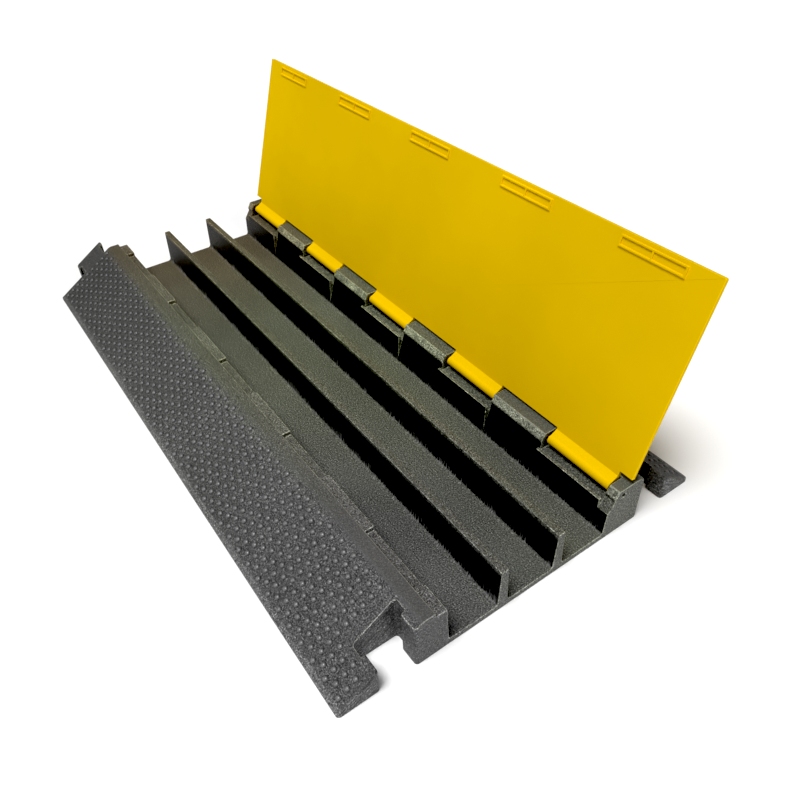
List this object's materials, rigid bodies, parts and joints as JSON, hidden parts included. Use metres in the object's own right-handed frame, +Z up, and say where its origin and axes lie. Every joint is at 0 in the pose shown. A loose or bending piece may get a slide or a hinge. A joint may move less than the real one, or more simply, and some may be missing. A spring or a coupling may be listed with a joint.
{
  "type": "cable protector ramp",
  "caption": "Low drive-over ramp with open cable channels along its length, a full-length hinged lid over them, sloped studded sides and interlocking ends.",
  "frame": {"origin": "on the ground, in the middle of the base between its two flat ends and its two toes", "axes": "+X along the channels from the tongue end to the socket end, +Y across them towards the hinge, +Z up from the ground"},
  "size_m": [0.9375, 0.5, 0.3036],
  "materials": {
    "rubber": "matt, slightly grained",
    "yellow_plastic": "moulded, satin",
    "steel": "plated rod"
  },
  "bodies": {
    "base": {"ramp_base": "rubber", "hinge_rod": "steel"},
    "lid": {"channel_lid": "yellow_plastic"}
  },
  "joints": [
    {"name": "lid_hinge", "type": "hinge", "parent": "base", "child": "lid", "pos_m": [0, 0.124, 0.059], "axis": [1, 0, 0], "range_deg": [0, 107]}
  ]
}
